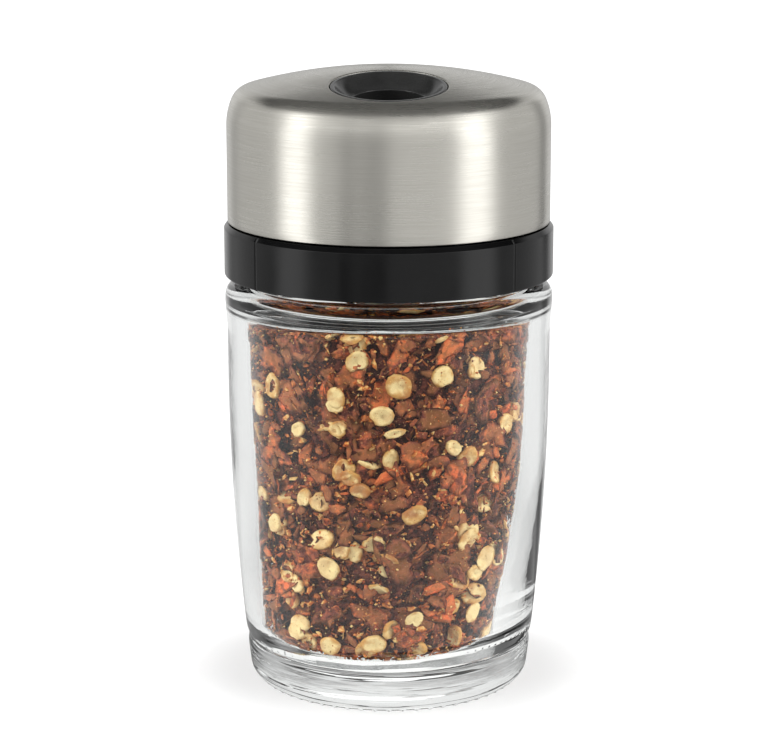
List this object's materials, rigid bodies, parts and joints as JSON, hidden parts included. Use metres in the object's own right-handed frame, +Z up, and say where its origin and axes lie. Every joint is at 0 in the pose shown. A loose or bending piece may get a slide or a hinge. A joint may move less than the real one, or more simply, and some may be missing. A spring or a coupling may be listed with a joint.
{
  "type": "spice jar",
  "caption": "Clear glass spice jar with a screw collar and a turning steel head whose off-centre funnel selects a closed, fine, coarse or pour station.",
  "frame": {"origin": "middle of the foot, on the surface that the jar stands on", "axes": "+Z up along the jar's axis, -Y towards the front, where the funnel is at rest, +X to the right seen from the front"},
  "size_m": [0.05, 0.05, 0.0948],
  "materials": {
    "clear_glass": "clear pressed soda-lime glass, fire polished",
    "dried_chilli": "loose crushed dried chilli with pale flat seeds",
    "soft_seal": "soft translucent silicone",
    "black_gloss": "gloss black moulded plastic",
    "black_satin": "satin black moulded plastic",
    "black_funnel": "semi-gloss black moulded plastic",
    "brushed_steel": "fine brushed stainless, brushed round the axis",
    "plain_steel": "plain bright stainless"
  },
  "bodies": {
    "jar": {"glass_jar": "clear_glass", "chilli_fill": "dried_chilli"},
    "seal": {"rim_seal": "soft_seal"},
    "collar": {"collar_ring": "black_gloss", "sifter_drum": "black_satin"},
    "head": {"steel_shell": "brushed_steel", "cap_core": "black_satin", "pour_funnel": "black_funnel", "chute_seal": "soft_seal", "pivot_washer": "plain_steel", "pivot_spring": "plain_steel", "pivot_screw": "plain_steel"}
  },
  "joints": [
    {"name": "lid_rise", "type": "slide", "parent": "jar", "child": "seal", "axis": [0, 0, 1], "range_m": [0, 0.0097]},
    {"name": "lid_unscrew", "type": "hinge", "parent": "seal", "child": "collar", "pos_m": [0, 0, 0.065], "axis": [0, 0, 1], "range_deg": [0, 1080]},
    {"name": "head_turn", "type": "hinge", "parent": "collar", "child": "head", "pos_m": [0, 0, 0.08], "axis": [0, 0, 1], "continuous": true}
  ],
  "couplings": [
    {"joint": "lid_rise", "follows": "lid_unscrew", "m_per_rad": 0.0005093}
  ]
}
